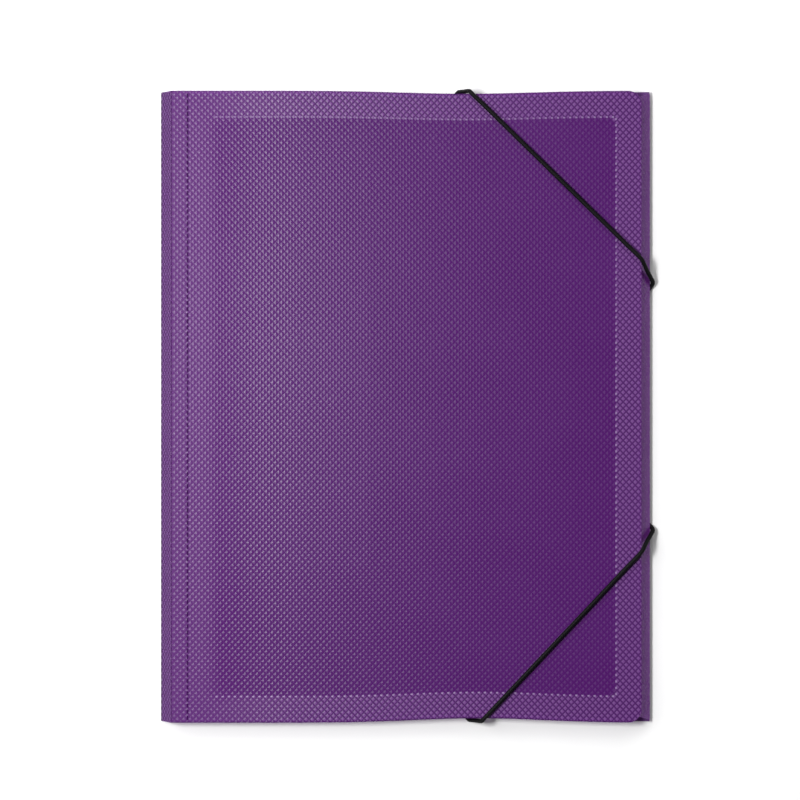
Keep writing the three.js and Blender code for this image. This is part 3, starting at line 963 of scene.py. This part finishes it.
# Name, place, target, width, height and power in watts
SOFTBOXES = [
    ("softbox_left", (-0.63, 0.09, 1.50), (0, 0.05, 0), 0.45, 0.3, 30),
    ("softbox_top", (0.1, 1.2, 1.1), FOLDER_CENTRE, 1.6, 1.0, 14),
    ("softbox_side", (-0.95, 0.35, 0.95), FOLDER_CENTRE, 0.8, 0.8, 8),
]

# The sky is bright at the horizon and dark overhead, so that it leaves no grey sheen
SKY_FALL = {"From Min": 0.45, "From Max": 0.95, "To Min": 0.45, "To Max": 0.05}


def build_camera():
    """Straight above the folder, as in the photograph."""
    camera = bpy.data.cameras.new("camera")
    camera.sensor_width = SENSOR_WIDTH
    camera.lens = SENSOR_WIDTH * CAMERA_RANGE / PICTURE_WIDTH
    camera.clip_end = 20
    holder = bpy.data.objects.new("camera", camera)
    holder.location = (*PICTURE_CENTRE, cover_high.z + CAMERA_RANGE)
    bpy.context.scene.collection.objects.link(holder)
    bpy.context.scene.camera = holder


def add_softbox(name, place, target, width, height, power):
    """A rectangular light at one place that faces another."""
    light = bpy.data.lights.new(name, "AREA")
    light.shape = "RECTANGLE"
    light.size, light.size_y = width, height
    light.energy = power
    holder = bpy.data.objects.new(name, light)
    holder.location = place
    away = Vector(place) - Vector(target)
    holder.rotation_euler = away.to_track_quat("Z", "Y").to_euler()
    bpy.context.scene.collection.objects.link(holder)


def build_floor():
    """A plain pale floor just under the folder."""
    tree = Tree("pale_floor")
    place = tree.add("ShaderNodeTexCoord").outputs["Object"]
    speck = tree.noise(place, 60.0, 2.0)
    shader = tree.add("ShaderNodeBsdfPrincipled", {
        "Base Color": tree.mix(speck, *FLOOR),
        "Roughness": 0.9,
        "Specular IOR Level": 0.1,
    })
    tree.links.new(shader.outputs[0], tree.output.inputs[0])
    mesh = bpy.data.meshes.new("floor")
    signs = [(-1, -1), (1, -1), (1, 1), (-1, 1)]
    corners = [(x * FLOOR_HALF, y * FLOOR_HALF, 0) for x, y in signs]
    mesh.from_pydata(corners, [], [(0, 1, 2, 3)])
    floor = add_object("floor", mesh, [tree.material])
    floor.location.z = FLOOR_Z


def build_sky():
    world = bpy.data.worlds.new("studio")
    world.use_nodes = True
    nodes, links = world.node_tree.nodes, world.node_tree.links
    background = nodes["Background"]
    direction = nodes.new("ShaderNodeTexCoord")
    split = nodes.new("ShaderNodeSeparateXYZ")
    fall = nodes.new("ShaderNodeMapRange")
    fall.interpolation_type = "SMOOTHSTEP"
    for key, value in SKY_FALL.items():
        fall.inputs[key].default_value = value
    links.new(direction.outputs["Generated"], split.inputs[0])
    links.new(split.outputs[2], fall.inputs["Value"])
    links.new(fall.outputs[0], background.inputs[1])
    background.inputs[0].default_value = (1, 1, 1, 1)
    bpy.context.scene.world = world


def build_studio():
    build_floor()
    build_sky()
    for softbox in SOFTBOXES:
        add_softbox(*softbox)
    bpy.context.scene.view_settings.view_transform = "Standard"


build_camera()
build_cords()
build_sheets()
dress_metal_ends()
build_studio()
